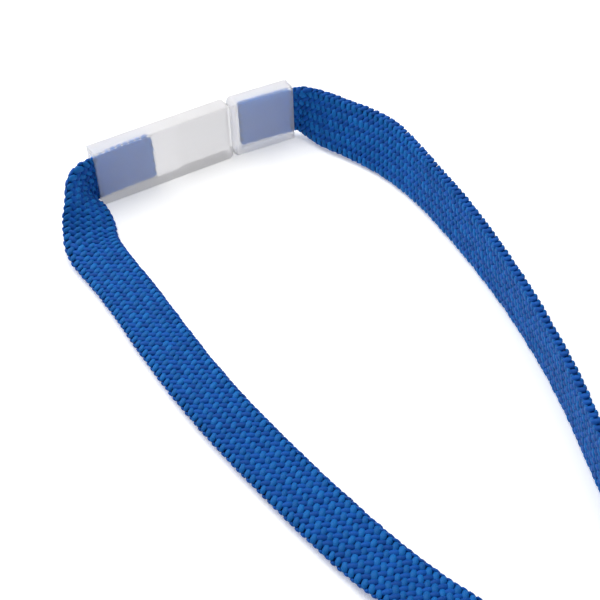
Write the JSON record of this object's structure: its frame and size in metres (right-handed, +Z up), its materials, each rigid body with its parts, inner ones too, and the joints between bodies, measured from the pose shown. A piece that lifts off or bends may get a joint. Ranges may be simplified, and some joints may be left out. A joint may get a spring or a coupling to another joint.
{
  "type": "lanyard badge holder",
  "caption": "Flat braided neck lanyard with a two-part breakaway clasp, its two legs running together into a crimp with a swivel hook for a badge holder.",
  "frame": {"origin": "on the surface it lies on, under the centre of the closed clasp", "axes": "+X along the clasp from the long half to the short half, +Y away from the strap's legs, +Z up"},
  "size_m": [0.1329, 0.2005, 0.0126],
  "materials": {
    "frosted_polypropylene": "frosted, translucent",
    "braided_polyester": "coarse braid",
    "nickel_plated_steel": "bright plated",
    "spring_steel": "satin"
  },
  "bodies": {
    "root": {"female_half": "frosted_polypropylene", "strap_left": "braided_polyester", "strap_right": "braided_polyester", "strap_turn": "braided_polyester", "strap_loop": "braided_polyester", "crimp": "nickel_plated_steel"},
    "short_half": {"male_half": "frosted_polypropylene"},
    "eye": {"swivel_eye": "nickel_plated_steel"},
    "hook": {"hook_body": "nickel_plated_steel", "gate_pin": "nickel_plated_steel", "gate_spring": "spring_steel"},
    "gate": {"gate": "nickel_plated_steel"}
  },
  "joints": [
    {"name": "clasp_pull", "type": "slide", "parent": "root", "child": "short_half", "axis": [1, 0, 0], "range_m": [0, 0.014], "deforming": ["strap_right"]},
    {"name": "eye_swing", "type": "hinge", "parent": "root", "child": "eye", "pos_m": [0.03369, -0.15119, 0.0029], "axis": [-0.7071, -0.7071, 0], "range_deg": [-60, 60]},
    {"name": "hook_swivel", "type": "hinge", "parent": "eye", "child": "hook", "pos_m": [0.03765, -0.15515, 0.0029], "axis": [0.7071, -0.7071, 0], "continuous": true},
    {"name": "gate_open", "type": "hinge", "parent": "hook", "child": "gate", "pos_m": [0.03988, -0.16417, 0.0029], "axis": [0, 0, 1], "range_deg": [0, 25], "stiffness_Nm_per_rad": 0.008, "springref_deg": -20.05, "deforming": ["gate_spring"]}
  ]
}
